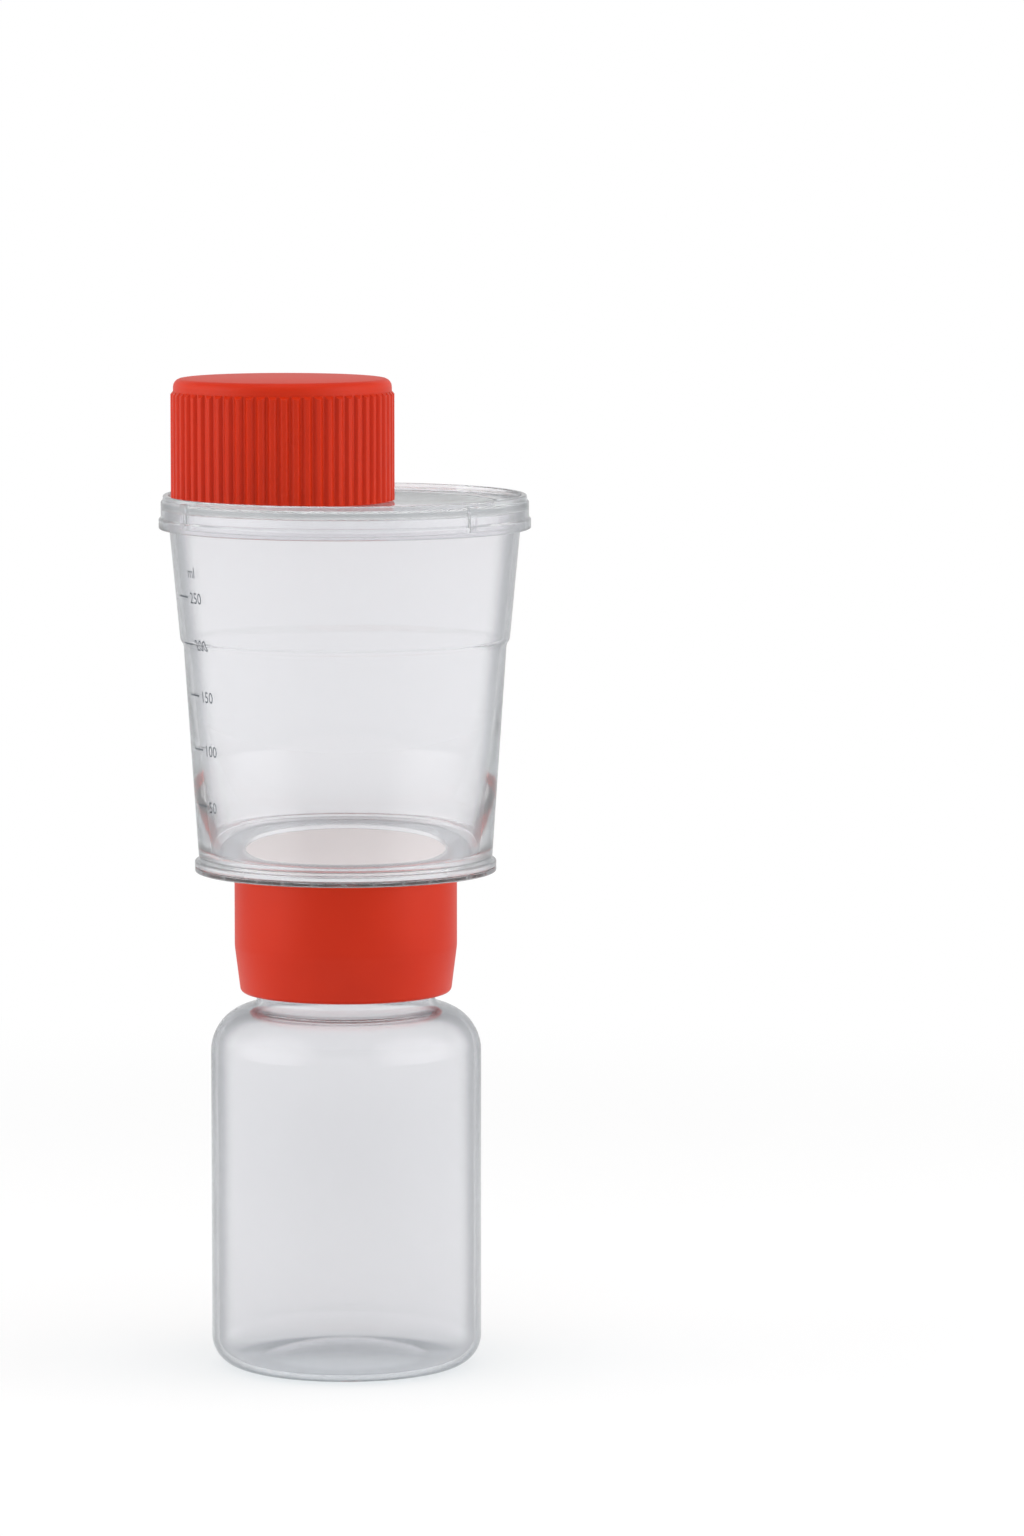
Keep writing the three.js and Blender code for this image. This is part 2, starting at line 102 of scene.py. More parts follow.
polystyrene = {
    "edgeShadeFrom": 0.5,             # over this facing a painted grey edge shade comes in: 0 square on, 1 along the wall
    "edgeShadeFull": 0.8,
    "ior": 1.59,
    "clear": 0.93,               # the rest scatters, as a faint haze
    "absorbed": "#DCE0E6",       # what a thick stretch of it lets through
    "absorbedPerMetre": 10.0,
    "flowLength": 14,            # mm, ripples where the melt flowed or the parison stretched
    "flowSpan": [0.3, 0.7],      # of the ripples' noise, from the glossiest to the roughest
    "hazeRange": 3,              # the roughest is so many times as rough as the glossiest
    "glossyBounces": 3,          # past either count a ray goes straight on
    "allBounces": 10,
}
moulded = {
    "tint": "#F5F5F7",
    "paintedEdgeShade": "#8F9499",       # painted shade, where the eye looks along a wall
    "shadowTint": "#FCFDFD",     # what goes straight through, with little lost
    "rippleHeight": 0.001,       # mm
    "roughest": 0.025,
}
blown = {
    "tint": "#F4F4F6",
    # painted shade, where the eye looks along a wall
    "paintedEdgeShade": "#80858B",
    "shadowTint": "#F7F9FA",
    "rippleHeight": 0.012,
    "roughest": 0.07,
}


def clearPlastic(name, kind):
    # Crystal polystyrene: glassy and faintly cool, with a painted grey shade where the eye looks along a
    # wall.
    material, tree = newMaterial(name)
    place = addNode(tree, "ShaderNodeTexCoord").outputs["Object"]
    ripple = addNode(tree, "ShaderNodeTexNoise", None, {
        "Vector": place, "Scale": 1 / (polystyrene["flowLength"] * mm), "Detail": 1.0})
    haze = addNode(tree, "ShaderNodeMapRange", None, {
        "Value": ripple.outputs[0],
        "From Min": polystyrene["flowSpan"][0], "From Max": polystyrene["flowSpan"][1],
        "To Min": kind["roughest"] / polystyrene["hazeRange"], "To Max": kind["roughest"]})
    bump = addNode(tree, "ShaderNodeBump", None, {
        "Height": ripple.outputs[0], "Distance": kind["rippleHeight"] * mm, "Strength": 1.0})
    # Painted shade: Layer Weight turns the base colour grey where the eye looks along a wall.
    along = addNode(tree, "ShaderNodeMapRange", smoothStep, {
        "Value": addNode(tree, "ShaderNodeLayerWeight", None, {"Blend": 0.5}).outputs["Facing"],
        "From Min": polystyrene["edgeShadeFrom"], "From Max": polystyrene["edgeShadeFull"]})
    tint = addNode(tree, "ShaderNodeMix", {"data_type": "RGBA"}, {
        "Factor": along.outputs[0],
        6: linear(kind["tint"]), 7: linear(kind["paintedEdgeShade"])})
    glass = addNode(tree, "ShaderNodeBsdfPrincipled", None, {
        "Base Color": tint.outputs[2],
        "Transmission Weight": polystyrene["clear"],
        "IOR": polystyrene["ior"],
        "Roughness": haze.outputs[0],
        "Normal": bump.outputs[0]})
    through = addNode(tree, "ShaderNodeBsdfTransparent", None, {
        "Color": linear(kind["shadowTint"])})
    # Light on its way from a lamp, or to a matt surface, goes straight through. So does a ray that
    # has bounced often enough: it would end black at the renderer's usual limits.
    straight = rayMask(tree, ["Is Shadow Ray", "Is Diffuse Ray"])
    for depth, most in (("Glossy Depth", "glossyBounces"), ("Ray Depth", "allBounces")):
        spent = addNode(tree, "ShaderNodeMath", {"operation": "GREATER_THAN"}, {
            0: addNode(tree, "ShaderNodeLightPath").outputs[depth],
            1: polystyrene[most] + 0.5}).outputs[0]
        straight = addNode(tree, "ShaderNodeMath", {"operation": "MAXIMUM"}, {
            0: straight, 1: spent}).outputs[0]
    surface = addNode(tree, "ShaderNodeMixShader", None, {
        0: straight, 1: glass.outputs[0], 2: through.outputs[0]})
    inside = addNode(tree, "ShaderNodeVolumeAbsorption", None, {
        "Color": linear(polystyrene["absorbed"]),
        "Density": polystyrene["absorbedPerMetre"]})
    addNode(tree, "ShaderNodeOutputMaterial", None, {
        "Surface": surface.outputs[0], "Volume": inside.outputs[0]})
    return material


def mottled(tree, finish):
    # Two tones that drift into each other, on the piece's own coordinates.
    place = addNode(tree, "ShaderNodeTexCoord").outputs["Object"]
    drift = addNode(tree, "ShaderNodeTexNoise", None, {
        "Vector": place, "Scale": 1 / (finish["patch"] * mm), "Detail": finish["detail"]})
    colour = addNode(tree, "ShaderNodeMix", {"data_type": "RGBA"}, {
        "Factor": drift.outputs[0],
        6: linear(finish["tones"][0]), 7: linear(finish["tones"][1])})
    return drift.outputs[0], colour.outputs[2]


polyethylene = {
    "tones": ["#DA2F07", "#CD2905"],
    "patch": 18,                 # mm from one tone to the other
    "detail": 2.0,
    "grain": 0.35,               # mm, the spark-eroded mould's texture, drawn coarser to show
    "grainHeight": 0.012,
    "roughness": [0.34, 0.46],
    "ior": 1.53,
    "gloss": 0.24,               # the texture scatters some of the sheen away
    "glow": 0.12,                # share of the light that wanders under the surface
    "glowReach": (0.004, 0.0012, 0.0006),   # metres, for red, green and blue
}


def orangePolyethylene():
    # High-density polyethylene, injection moulded: waxy orange-red with a soft broad sheen.
    material, tree = newMaterial("orangePolyethylene")
    colour = mottled(tree, polyethylene)[1]
    place = addNode(tree, "ShaderNodeTexCoord").outputs["Object"]
    grain = addNode(tree, "ShaderNodeTexNoise", None, {
        "Vector": place, "Scale": 1 / (polyethylene["grain"] * mm), "Detail": polyethylene["detail"]})
    sheen = addNode(tree, "ShaderNodeMapRange", None, {
        "Value": grain.outputs[0],
        "To Min": polyethylene["roughness"][0], "To Max": polyethylene["roughness"][1]})
    bump = addNode(tree, "ShaderNodeBump", None, {
        "Height": grain.outputs[0], "Distance": polyethylene["grainHeight"] * mm, "Strength": 1.0})
    plastic = addNode(tree, "ShaderNodeBsdfPrincipled", None, {
        "Base Color": colour,
        "Roughness": sheen.outputs[0],
        "IOR": polyethylene["ior"],
        "Specular IOR Level": polyethylene["gloss"],
        "Subsurface Weight": polyethylene["glow"],
        "Subsurface Radius": polyethylene["glowReach"],
        "Subsurface Scale": 1.0,
        "Normal": bump.outputs[0]})
    addNode(tree, "ShaderNodeOutputMaterial", None, {"Surface": plastic.outputs[0]})
    return material


cellulose = {
    # Both tones carry a faint painted pink, the glow of the orange adapter below; the membrane itself is
    # white.
    "tones": ["#FCF3F1", "#F8ECEA"],
    "patch": 0.5,                # mm, clumps of fibre, drawn coarser to show
    "detail": 3.0,
    "fibreHeight": 0.01,
    "roughness": 0.85,
    "glow": 0.12,                # share of the light that comes through
}


def castMembrane():
    # Cast filter membrane: matt paper white with a faint pink painted into its colour for the orange
    # adapter's glow, thin enough that strong colour glows through.
    material, tree = newMaterial("castMembrane")
    fibre, colour = mottled(tree, cellulose)
    bump = addNode(tree, "ShaderNodeBump", None, {
        "Height": fibre, "Distance": cellulose["fibreHeight"] * mm, "Strength": 1.0})
    sheet = addNode(tree, "ShaderNodeBsdfPrincipled", None, {
        "Base Color": colour, "Roughness": cellulose["roughness"], "Normal": bump.outputs[0]})
    glow = addNode(tree, "ShaderNodeBsdfTranslucent", None, {"Color": colour})
    surface = addNode(tree, "ShaderNodeMixShader", None, {
        0: cellulose["glow"], 1: sheet.outputs[0], 2: glow.outputs[0]})
    addNode(tree, "ShaderNodeOutputMaterial", None, {"Surface": surface.outputs[0]})
    return material


rubber = {
    "tones": ["#DAD8D3", "#CFCCC6"],
    "patch": 1.2,                # mm, dust that has settled on it, drawn coarser to show
    "detail": 3.0,
    "roughness": 0.6,
    "ior": 1.41,
}
printed = {
    "tones": ["#4A4F55", "#6A6F75"],
    "patch": 0.4,                # mm, about a stroke's width
    "detail": 2.0,
    "roughness": 0.6,
    "ior": 1.5,
}


def dull(name, finish):
    material, tree = newMaterial(name)
    skin = addNode(tree, "ShaderNodeBsdfPrincipled", None, {
        "Base Color": mottled(tree, finish)[1],
        "Roughness": finish["roughness"],
        "IOR": finish["ior"]})
    addNode(tree, "ShaderNodeOutputMaterial", None, {"Surface": skin.outputs[0]})
    return material


def siliconeRubber():
    # Moulded silicone: pale, soft and slightly dusty.
    return dull("siliconeRubber", rubber)


def printingInk():
    # Pad-printed ink: dull grey-black, a little uneven where the pad left less of it.
    return dull("printingInk", printed)


mouldedPolystyrene = clearPlastic("mouldedPolystyrene", moulded)
blownPolystyrene = clearPlastic("blownPolystyrene", blown)
orange = orangePolyethylene()
membraneWhite = castMembrane()
silicone = siliconeRubber()
ink = printingInk()
print("materials ready")


# Profile and mesh helpers, all in millimetres until a mesh is made.

smoothness = {
    "arcStep": 7,                # degrees to one facet of an outline's arc
    "filletStep": 18,            # degrees to one facet of a fillet
    "domeSteps": 14,
    "facets": 160,               # round a turned piece
    "wideFacets": 192,           # round the funnel and the lid
    "portFacets": 64,
    "boreFacets": 48,
    "creaseFrom": 38,            # degrees between faces, from where an edge looks sharp
}
fillets = {"fine": 0.1, "crisp": 0.2, "plain": 0.3, "soft": 0.4, "full": 0.5}
fine, crisp, plain, soft, full = fillets.values()
touching = 1e-6                  # a radius under this is on the axis
front, right = -90, 0            # degrees, the sides from which threads start


def boxInMm(node):
    low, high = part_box(node)
    return Vector(low) / mm, Vector(high) / mm


def arc(r, z, radius, start, end):
    steps = max(2, math.ceil(abs(end - start) / smoothness["arcStep"]))
    angles = [math.radians(start + (end - start) * i / steps) for i in range(steps + 1)]
    return [(r + radius * math.cos(a), z + radius * math.sin(a)) for a in angles]


def dome(rimRadius, rimZ, height):
    radius = (rimRadius ** 2 + height ** 2) / (2 * height)
    steps = smoothness["domeSteps"]
    rings = [rimRadius * (1 - i / steps) for i in range(steps + 1)]
    return [(r, rimZ + height - radius + math.sqrt(radius ** 2 - r ** 2)) for r in rings]


def rounded(corners):
    # Corners are (r, z) or (r, z, fillet); each fillet becomes a short arc.
    points = []
    for i, corner in enumerate(corners):
        here = Vector(corner[:2])
        if len(corner) < 3:
            points.append(tuple(here))
            continue
        before = (Vector(corners[i - 1][:2]) - here).normalized()
        after = (Vector(corners[(i + 1) % len(corners)][:2]) - here).normalized()
        half = before.angle(after) / 2
        centre = here + (before + after).normalized() * corner[2] / math.sin(half)
        first = here + before * corner[2] / math.tan(half) - centre
        last = here + after * corner[2] / math.tan(half) - centre
        turning = math.degrees(math.pi - 2 * half)
        steps = max(3, math.ceil(turning / smoothness["filletStep"]))
        sweep = first.angle_signed(last)
        for step in range(steps + 1):
            turn = Matrix.Rotation(-sweep * step / steps, 2)
            points.append(tuple(centre + turn @ first))
    return points


def denser(profile, wallRadius, low, high):
    # Adds rings to the straight wall that carries a thread.
    points = []
    for (r0, z0), (r1, z1) in zip(profile, profile[1:] + profile[:1]):
        points.append((r0, z0))
        if max(abs(r0 - wallRadius), abs(r1 - wallRadius)) >= thread["wallOutline"]:
            continue
        count = math.ceil(abs(z1 - z0) / thread["ringSpacing"])
        for i in range(1, count):
            z = z0 + (z1 - z0) * i / count
            if low < z < high:
                points.append((wallRadius, z))
    return points


def turned(name, profile, facets=smoothness["facets"]):
    # A profile turned about the axis. It ends on the axis or closes on itself.
    solid = bmesh.new()
    rings = []
    for r, z in profile:
        if r < touching:
            rings.append([solid.verts.new((0, 0, z * mm))] * facets)
            continue
        rings.append([
            solid.verts.new((r * mm * math.cos(a), r * mm * math.sin(a), z * mm))
            for a in (2 * math.pi * i / facets for i in range(facets))])
    endsOnAxis = profile[0][0] < touching and profile[-1][0] < touching
    for lower, upper in zip(rings, rings[1:] if endsOnAxis else rings[1:] + rings[:1]):
        for i in range(facets):
            j = (i + 1) % facets
            corners = list(dict.fromkeys([lower[i], lower[j], upper[j], upper[i]]))
            if len(corners) > 2:
                solid.faces.new(corners)
    return finished(name, solid)


def newPiece(name, solid):
    mesh = bpy.data.meshes.new(name)
    solid.to_mesh(mesh)
    solid.free()
    piece = bpy.data.objects.new(name, mesh)
    scene.collection.objects.link(piece)
    return piece


def finished(name, solid):
    bmesh.ops.recalc_face_normals(solid, faces=solid.faces)
    return newPiece(name, solid)


def extruded(name, outline, direction, length):
    # A flat outline of 3-D points in mm, carried along a direction.
    solid = bmesh.new()
    start = [solid.verts.new(Vector(p) * mm) for p in outline]
    end = [solid.verts.new((Vector(p) + Vector(direction) * length) * mm) for p in outline]
    solid.faces.new(start)
    solid.faces.new(end)
    for i in range(len(outline)):
        j = (i + 1) % len(outline)
        solid.faces.new([start[i], start[j], end[j], end[i]])
    return finished(name, solid)


def plainMesh(piece):
    graph = bpy.context.evaluated_depsgraph_get()
    mesh = bpy.data.meshes.new_from_object(piece.evaluated_get(graph))
    piece.modifiers.clear()
    piece.data = mesh


def dress(piece, material, body, node):
    mesh = piece.data
    mesh.materials.clear()
    mesh.materials.append(material)
    for face in mesh.polygons:
        face.material_index = 0
        face.use_smooth = True
    mesh.set_sharp_from_angle(angle=math.radians(smoothness["creaseFrom"]))
    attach(piece, body)
    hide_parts(node)


def combine(piece, other, operation):
    cut = piece.modifiers.new(operation, "BOOLEAN")
    cut.operation = operation
    cut.solver = "EXACT"
    cut.object = other
    plainMesh(piece)
    bpy.data.objects.remove(other)


# Geometry node trees.

def newTree(name, sockets):
    tree = bpy.data.node_groups.new(name, "GeometryNodeTree")
    tree.interface.new_socket("Geometry", in_out="INPUT", socket_type="NodeSocketGeometry")
    tree.interface.new_socket("Geometry", in_out="OUTPUT", socket_type="NodeSocketGeometry")
    for socket, kind in sockets:
        tree.interface.new_socket(socket, in_out="INPUT", socket_type="NodeSocket" + kind)
    return tree, addNode(tree, "NodeGroupInput").outputs


def useTree(piece, tree, values):
    modifier = piece.modifiers.new(tree.name, "NODES")
    modifier.node_group = tree
    for item in tree.interface.items_tree:
        if item.in_out == "INPUT" and item.name in values:
            modifier[item.identifier] = values[item.name]
    plainMesh(piece)


thread = {
    "pitch": 4.0,
    "rootWidth": 1.9,
    "crestWidth": 0.7,
    "runOut": 0.09,              # share of a turn over which it fades into its wall
    "outsideRidge": 1.5,
    "insideRidge": 1.4,
    "neckRadius": 21.0,          # wall that carries an outside thread
    "socketRadius": 22.9,        # wall that carries an inside thread
    "ringSpacing": 0.22,
    "wallOutline": 0.01,         # where an outline is this near to the wall, it gets more rings
    "wallPoint": 0.03,           # and a point this near to it can be lifted
    "spigotStart": 0.8,          # from the spigot's end to the start of its thread
}


def threadTree():
    # Lifts a helical ridge out of a turned wall. A right-handed thread rises anticlockwise.
    tree, given = newTree("screwThread", [
        ("Wall Radius", "Float"), ("Ridge", "Float"), ("Pitch", "Float"), ("Turns", "Float"),
        ("Start Height", "Float"), ("Start Angle", "Float"), ("Root Width", "Float"),
        ("Crest Width", "Float"), ("Run Out", "Float"), ("Material", "Material")])
    at = addNode(tree, "ShaderNodeSeparateXYZ", None, {
        0: addNode(tree, "GeometryNodeInputPosition").outputs[0]}).outputs
    terms = {socket.name: socket for socket in given}
    terms.update(x=at[0], y=at[1], z=at[2])
    # A point's place along the helix is a whole number of turns and a share of one. How far the
    # point is off the helix gives the ridge, and how far it is from an end gives the run-out.
    for term, operation, *values in (
            ("angle", "ARCTAN2", "y", "x"),
            ("fromStart", "SUBTRACT", "angle", "Start Angle"),
            ("round", "DIVIDE", "fromStart", math.tau),
            ("share", "FRACT", "round"),
            ("height", "SUBTRACT", "z", "Start Height"),
            ("pitches", "DIVIDE", "height", "Pitch"),
            ("rest", "SUBTRACT", "pitches", "share"),
            ("whole", "ROUND", "rest"),
            ("along", "ADD", "share", "whole"),
            ("missed", "SUBTRACT", "pitches", "along"),
            ("away", "ABSOLUTE", "missed"),
            ("off", "MULTIPLY", "away", "Pitch"),
            ("rootHalf", "MULTIPLY", "Root Width", 0.5),
            ("crestHalf", "MULTIPLY", "Crest Width", 0.5),
            ("left", "SUBTRACT", "Turns", "along"),
            ("nearEnd", "MINIMUM", "along", "left")):
        terms[term] = addNode(tree, "ShaderNodeMath", {"operation": operation}, {
            i: terms.get(value, value) for i, value in enumerate(values)}).outputs[0]
    ridge = addNode(tree, "ShaderNodeMapRange", smoothStep, {
        "Value": terms["off"], "From Min": terms["crestHalf"], "From Max": terms["rootHalf"],
        "To Min": 1.0, "To Max": 0.0})
    grown = addNode(tree, "ShaderNodeMapRange", smoothStep, {
        "Value": terms["nearEnd"], "From Min": 0.0, "From Max": given["Run Out"]})
    share = addNode(tree, "ShaderNodeMath", {"operation": "MULTIPLY"}, {
        0: ridge.outputs[0], 1: grown.outputs[0]})
    lift = addNode(tree, "ShaderNodeMath", {"operation": "MULTIPLY"}, {
        0: share.outputs[0], 1: given["Ridge"]})
    outwards = addNode(tree, "ShaderNodeCombineXYZ", None, {0: at[0], 1: at[1]}).outputs[0]
    radius = addNode(tree, "ShaderNodeVectorMath", {"operation": "LENGTH"}, {0: outwards})
    direction = addNode(tree, "ShaderNodeVectorMath", {"operation": "NORMALIZE"}, {0: outwards})
    offset = addNode(tree, "ShaderNodeVectorMath", {"operation": "SCALE"}, {
        0: direction.outputs[0], "Scale": lift.outputs[0]})
    onWall = addNode(tree, "ShaderNodeMath", {"operation": "COMPARE"}, {
        0: radius.outputs["Value"], 1: given["Wall Radius"], 2: thread["wallPoint"] * mm})
    moved = addNode(tree, "GeometryNodeSetPosition", None, {
        "Geometry": given["Geometry"], "Selection": onWall.outputs[0], "Offset": offset.outputs[0]})
    real = addNode(tree, "GeometryNodeRealizeInstances", None, {0: moved.outputs[0]})
    coated = addNode(tree, "GeometryNodeSetMaterial", None, {
        "Geometry": real.outputs[0], "Material": given["Material"]})
    addNode(tree, "NodeGroupOutput", None, {0: coated.outputs[0]})
    return tree


def ribTree():
    # Copies one rib round the axis and joins the ring of them to the piece.
    tree, given = newTree("ribsRoundAxis", [
        ("Rib", "Object"), ("Count", "Int"), ("Start Angle", "Float"), ("Material", "Material")])
    rib = addNode(tree, "GeometryNodeObjectInfo", {"transform_space": "ORIGINAL"}, {
        "Object": given["Rib"]})
    # One point for each rib, all of them on the axis.
    places = addNode(tree, "GeometryNodeMeshLine", None, {
        "Count": given["Count"], "Offset": (0, 0, 0)})
    index = addNode(tree, "GeometryNodeInputIndex").outputs[0]
    step = addNode(tree, "ShaderNodeMath", {"operation": "DIVIDE"}, {
        0: math.tau, 1: given["Count"]}).outputs[0]
    angle = addNode(tree, "ShaderNodeMath", {"operation": "MULTIPLY_ADD"}, {
        0: index, 1: step, 2: given["Start Angle"]}).outputs[0]
    rotation = addNode(tree, "ShaderNodeCombineXYZ", None, {2: angle}).outputs[0]
    ring = addNode(tree, "GeometryNodeInstanceOnPoints", None, {
        "Points": places.outputs[0], "Instance": rib.outputs["Geometry"], "Rotation": rotation})
    both = addNode(tree, "GeometryNodeJoinGeometry")
    tree.links.new(given["Geometry"], both.inputs[0])
    tree.links.new(ring.outputs[0], both.inputs[0])
    real = addNode(tree, "GeometryNodeRealizeInstances", None, {0: both.outputs[0]})
    coated = addNode(tree, "GeometryNodeSetMaterial", None, {
        "Geometry": real.outputs[0], "Material": given["Material"]})
    addNode(tree, "NodeGroupOutput", None, {0: coated.outputs[0]})
    return tree


screwThread = threadTree()
ribsRoundAxis = ribTree()


def threaded(piece, outside, turns, startHeight, startAngle, material):
    useTree(piece, screwThread, {
        "Wall Radius": thread["neckRadius" if outside else "socketRadius"] * mm,
        "Ridge": (thread["outsideRidge"] if outside else -thread["insideRidge"]) * mm,
        "Pitch": thread["pitch"] * mm,
        "Turns": turns,
        "Start Height": startHeight * mm,
        "Start Angle": math.radians(startAngle),
        "Root Width": thread["rootWidth"] * mm,
        "Crest Width": thread["crestWidth"] * mm,
        "Run Out": thread["runOut"],
        "Material": material})


# Storage bottle, blown, with an outside thread on its neck.

bottle = {
    "wall": 1.6,
    "footCorner": 7.0,
    "footWidth": 4.0,            # flat ring that it stands on
    "pushUp": 3.5,               # height of its domed floor
    "crown": 11.0,               # radius of the shoulder
    "root": 2.2,                 # radius where the neck rises from it
    "neckHeight": 11.7,          # from there to the rim
    "threadBelowRim": 8.5,       # its first end, to the middle of the ridge
    "threadTurns": 1.25,
    "rimRound": 0.5,
}


def bottleSkin(radius, rootZ, depth):
    # One side of the wall, set in by a depth: foot corner, side, shoulder, root of the neck.
    drop = radius - thread["neckRadius"]
    arcs = bottle["crown"] + bottle["root"]
    height = math.sqrt(2 * drop * arcs - drop ** 2)
    lean = math.degrees(math.atan2(height, arcs - drop))
    foot = bottle["footCorner"]
    return (
        arc(radius - foot, foot, foot - depth, -90, 0)
        + arc(radius - bottle["crown"], rootZ - height, bottle["crown"] - depth, 0, lean)
        + arc(thread["neckRadius"] + bottle["root"], rootZ, bottle["root"] + depth, 180 + lean, 180)[1:])


def makeBottle():
    high = boxInMm("storage_bottle")[1]
    radius, rim = high.x, high.z
    rootZ = rim - bottle["neckHeight"]
    domeRadius = radius - bottle["footCorner"] - bottle["footWidth"]
    neck, wall, edge = thread["neckRadius"], bottle["wall"], bottle["rimRound"]
    profile = (
        dome(domeRadius, 0, bottle["pushUp"])[::-1]
        + bottleSkin(radius, rootZ, 0)
        + arc(neck - edge, rim - edge, edge, 0, 90)
        + arc(neck - wall + edge, rim - edge, edge, 90, 180)
        + bottleSkin(radius, rootZ, wall)[::-1]
        + dome(domeRadius, wall, bottle["pushUp"]))
    piece = turned("storageBottle", denser(profile, neck, rootZ, rim))
    startHeight = rim - bottle["threadBelowRim"]
    threaded(piece, True, bottle["threadTurns"], startHeight, front, blownPolystyrene)
    dress(piece, blownPolystyrene, "bottle", "storage_bottle")


makeBottle()
print("bottle made")


# Vacuum adapter: two threaded sockets, an inside ledge and a hose port.

adapter = {
    "footRadius": 24.9,
    "footRound": 1.2,
    "flareHeight": 11.0,
    "flareRound": 9,
    "lipWidth": 1.0,
    "seatDepth": 1.2,            # the upper gasket's seat below the top
    "leadIn": 0.5,
    "ledgeBore": 18.0,
    "ledgeThickness": 1.8,
    "ledgeOverBottle": 1.3,      # its underside above the bottle's rim
    "chamber": 4.4,
    "lowerThreadOffset": -1.0,   # against the outside thread that it holds
    "lowerThreadTurns": 1.0,
    "upperThreadOffset": 3.0,
    "upperThreadTurns": 0.5,
}
port = {
    "bore": 1.9,
    "boreFrom": 19.0,            # from the axis, inside the chamber
    "shank": 3.0,
    "boss": 4.8,
    "bossLength": 2.0,
    "sunk": 1.2,                 # into the adapter's wall
    "barb": 4.1,
    "barbLength": 4.2,
    "barbs": 3,
    "barbRise": 0.525,           # length of a barb's steep side
    "barbRoot": 0.15,
    "barbEdge": 0.25,
    "tip": 1.5,
    "overrun": 1.0,              # the drill's, past the tip
}


def hosePort(radius, height):
    root = adapter["footRadius"] - port["sunk"]
    along = radius + port["bossLength"]
    slope = (port["boss"] - port["shank"]) / 2
    corners = [
        (0, root), (port["boss"], root),
        (port["boss"], along, full), (port["shank"], along + slope, soft)]
    along += port["barbLength"] / 2
    for barb in range(port["barbs"]):
        corners += [
            (port["shank"], along, port["barbRoot"]),
            (port["barb"], along + port["barbRise"], port["barbEdge"])]
        along += port["barbLength"]
    end = along + port["tip"]
    corners += [(port["shank"], along, plain), (port["shank"], end, soft), (0, end)]
    tube = turned("portTube", rounded(corners), smoothness["portFacets"])
    start, past = port["boreFrom"], end + port["overrun"]
    drill = [(0, start), (port["bore"], start), (port["bore"], past), (0, past)]
    bore = turned("portBore", drill, smoothness["boreFacets"])
    lift = Matrix.Translation((0, 0, height * mm))
    for tool in (tube, bore):
        tool.data.transform(lift @ Matrix.Rotation(-math.pi / 2, 4, "X"))
    return tube, bore


def makeAdapter():
    low, high = boxInMm("vacuum_adapter")
    radius, top, bottom = high.x, high.z, low.z
    socket, bore = thread["socketRadius"], adapter["ledgeBore"]
    seat = top - adapter["seatDepth"]
    rim = boxInMm("storage_bottle")[1].z
    ledge = rim + adapter["ledgeOverBottle"]
    ledgeTop = ledge + adapter["ledgeThickness"]
    lip = radius - adapter["lipWidth"]
    leadIn = adapter["leadIn"]
    profile = rounded([
        (adapter["footRadius"], bottom, adapter["footRound"]),
        (radius, bottom + adapter["flareHeight"], adapter["flareRound"]),
        (radius, top, soft), (lip, top, crisp), (lip, seat), (socket, seat, crisp),
        (socket, ledgeTop, plain), (bore, ledgeTop, soft), (bore, ledge, soft), (socket, ledge, plain),
        (socket, bottom + leadIn), (socket + leadIn, bottom, fine)])
    piece = turned("vacuumAdapter", denser(profile, socket, bottom, top))
    lower = rim - bottle["threadBelowRim"] + adapter["lowerThreadOffset"]
    upper = ledgeTop + adapter["chamber"] + thread["spigotStart"] + adapter["upperThreadOffset"]
    threaded(piece, False, adapter["lowerThreadTurns"], lower, right, orange)
    threaded(piece, False, adapter["upperThreadTurns"], upper, right, orange)
    tube, hole = hosePort(radius, ledgeTop + adapter["chamber"] / 2)
    combine(piece, tube, "UNION")
    combine(piece, hole, "DIFFERENCE")
    dress(piece, orange, "adapter", "vacuum_adapter")


makeAdapter()
print("adapter made")


# Filter base: flange, ribbed membrane support, drain spout and threaded spigot.

base = {
    "flange": 1.2,
    "flangeUnder": 0.25,         # fillet where the pan meets it
    "flangeEdge": 0.35,          # fillet of its lower edge
    "pan": 0.8,
    "spigotWall": 1.8,
    "spigotRoot": 1.0,
    "threadTurns": 1.0,
    "spoutBore": 3.2,
    "spoutWall": 1.2,
    "spoutTaper": 0.8,
    "spoutRoot": 0.8,
    "membranePocket": 25.4,
    "pocketDepth": 0.55,
    "dishRadius": 24.3,
    "dishEdge": 0.15,
    "dishDepth": 0.5,
    "dishFall": 1.4,
    "ribs": 12,
    "ribWidth": 0.9,
    "ribSunk": 0.4,              # into the dish
    "ribSlope": 0.3,             # at a rib's inner end
}


